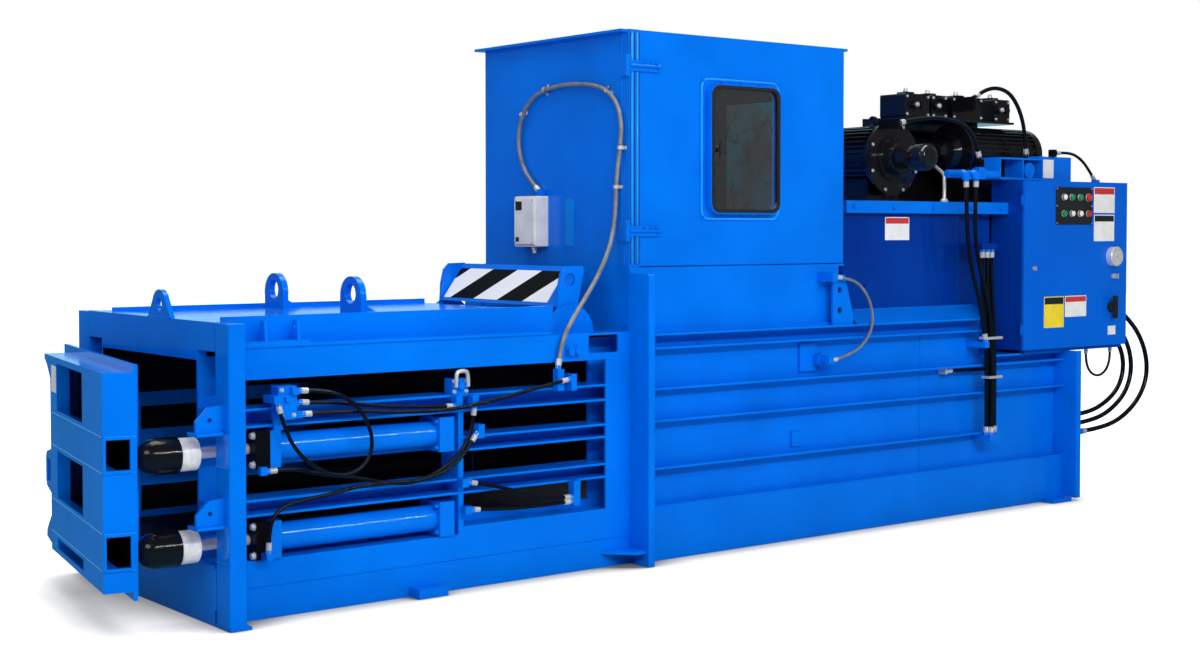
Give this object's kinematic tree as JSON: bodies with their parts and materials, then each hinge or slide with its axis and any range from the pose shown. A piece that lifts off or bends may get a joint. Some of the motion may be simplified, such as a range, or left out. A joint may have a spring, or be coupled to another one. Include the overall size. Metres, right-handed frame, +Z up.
{
  "type": "horizontal recycling baler",
  "caption": "Horizontal ram baler with a swinging discharge door, feed hopper, oil tank and power unit, and a control box on stand rails.",
  "frame": {"origin": "on the floor under the middle cross beam, on the machine's centre line", "axes": "+X along the machine from the discharge door to the ram cylinder's end, +Y from the operator's side to the far side, +Z up"},
  "size_m": [6.3771, 1.461, 2.393],
  "materials": {
    "paint_blue": "gloss",
    "paint_black": "satin",
    "plain_steel": "satin",
    "chromed_rod": "polished",
    "black_rubber": "matte",
    "hose_rubber": "satin",
    "clear_pane": "polished",
    "black_plastic": "matte",
    "green_plastic": "gloss",
    "red_plastic": "gloss"
  },
  "bodies": {
    "frame": {"base_frame": "paint_blue", "front_post_near": "paint_blue", "front_post_far": "paint_blue", "mid_posts": "paint_blue", "rear_posts": "paint_blue", "side_wall_near": "paint_blue", "side_wall_far": "paint_blue", "roof_frame": "paint_blue", "lifting_eyes": "paint_blue", "press_wall_near": "paint_blue", "press_wall_far": "paint_blue", "press_roof": "paint_blue", "rear_bulkhead": "paint_blue", "chamber_floor": "paint_blue", "hopper_throat": "paint_blue", "hopper_shell": "paint_blue", "far_window_pane": "clear_pane", "door_hinge_pins": "plain_steel", "door_cylinder_lower": "paint_blue", "door_cylinder_upper": "paint_blue", "main_cylinder": "paint_blue", "oil_tank": "paint_blue", "motor_deck": "paint_blue", "main_motor": "paint_black", "main_pump": "paint_black", "aux_motor": "paint_black", "aux_pump": "paint_black", "valve_stack": "paint_black", "power_manifold": "paint_blue", "control_box": "paint_blue", "junction_box": "paint_blue", "hose_manifolds": "paint_blue", "front_hoses": "hose_rubber", "power_hoses": "hose_rubber", "rear_hoses": "hose_rubber", "cables": "hose_rubber", "hose_ends": "plain_steel"},
    "discharge_door": {"discharge_door": "paint_blue"},
    "door_rod_lower": {"door_rod_lower": "chromed_rod", "door_coupling_lower": "paint_black"},
    "door_rod_upper": {"door_rod_upper": "chromed_rod", "door_coupling_upper": "paint_black"},
    "ram": {"ram": "plain_steel", "ram_rod": "chromed_rod"},
    "hopper_door": {"hopper_door": "paint_blue", "window_gasket": "black_rubber", "near_window_pane": "clear_pane"},
    "window_latch": {"window_latch": "black_plastic"},
    "safety_flap": {"safety_flap": "paint_blue"},
    "control_door": {"control_door": "paint_blue", "button_panel": "black_plastic", "pressure_gauge": "plain_steel"},
    "button_forward": {"button_forward": "green_plastic"},
    "button_reverse": {"button_reverse": "green_plastic"},
    "button_stop": {"button_stop": "red_plastic"},
    "button_start": {"button_start": "green_plastic"},
    "button_release": {"button_release": "red_plastic"},
    "key_switch": {"key_switch": "plain_steel"},
    "disconnect_handle": {"disconnect_handle": "black_plastic"},
    "door_lock": {"door_lock": "plain_steel"}
  },
  "joints": [
    {"name": "door_swing", "type": "hinge", "parent": "frame", "child": "discharge_door", "pos_m": [-2.097, 0.6015, 0.52], "axis": [0, 0, -1], "range_deg": [-10.6, 8]},
    {"name": "door_rod_lower_slide", "type": "slide", "parent": "frame", "child": "door_rod_lower", "axis": [-1, 0, 0], "range_m": [-0.2155, 0.163]},
    {"name": "door_rod_upper_slide", "type": "slide", "parent": "frame", "child": "door_rod_upper", "axis": [-1, 0, 0], "range_m": [-0.2155, 0.163]},
    {"name": "ram_stroke", "type": "slide", "parent": "frame", "child": "ram", "axis": [-1, 0, 0], "range_m": [0, 1.45]},
    {"name": "hopper_door_swing", "type": "hinge", "parent": "frame", "child": "hopper_door", "pos_m": [-0.034, -0.5785, 1.86], "axis": [0, 0, -1], "range_deg": [0, 100]},
    {"name": "window_latch_turn", "type": "hinge", "parent": "hopper_door", "child": "window_latch", "pos_m": [0.47, -0.6195, 1.871], "axis": [0, -1, 0], "range_deg": [-90, 0]},
    {"name": "flap_swing", "type": "hinge", "parent": "frame", "child": "safety_flap", "pos_m": [-0.287, 0, 1.08], "axis": [0, 1, 0], "range_deg": [0, 35]},
    {"name": "control_door_swing", "type": "hinge", "parent": "frame", "child": "control_door", "pos_m": [2.608, -0.6785, 1.3], "axis": [0, 0, -1], "range_deg": [0, 110]},
    {"name": "button_forward_press", "type": "slide", "parent": "control_door", "child": "button_forward", "axis": [0, 1, 0], "range_m": [0, 0.004], "stiffness_N_per_m": 400},
    {"name": "button_reverse_press", "type": "slide", "parent": "control_door", "child": "button_reverse", "axis": [0, 1, 0], "range_m": [0, 0.004], "stiffness_N_per_m": 400},
    {"name": "button_stop_press", "type": "slide", "parent": "control_door", "child": "button_stop", "axis": [0, 1, 0], "range_m": [0, 0.004], "stiffness_N_per_m": 400},
    {"name": "button_start_press", "type": "slide", "parent": "control_door", "child": "button_start", "axis": [0, 1, 0], "range_m": [0, 0.004], "stiffness_N_per_m": 400},
    {"name": "button_release_press", "type": "slide", "parent": "control_door", "child": "button_release", "axis": [0, 1, 0], "range_m": [0, 0.004], "stiffness_N_per_m": 400},
    {"name": "key_turn", "type": "hinge", "parent": "control_door", "child": "key_switch", "pos_m": [3.408, -0.6835, 1.236], "axis": [0, -1, 0], "range_deg": [-90, 0]},
    {"name": "disconnect_turn", "type": "hinge", "parent": "control_door", "child": "disconnect_handle", "pos_m": [3.389, -0.6835, 1.062], "axis": [0, -1, 0], "range_deg": [-90, 0]},
    {"name": "lock_turn", "type": "hinge", "parent": "control_door", "child": "door_lock", "pos_m": [2.704, -0.6835, 1.288], "axis": [0, -1, 0], "range_deg": [-90, 0]}
  ],
  "couplings": [
    {"joint": "door_rod_lower_slide", "follows": "door_swing", "m_per_rad": 1.16},
    {"joint": "door_rod_upper_slide", "follows": "door_swing", "m_per_rad": 1.16}
  ]
}
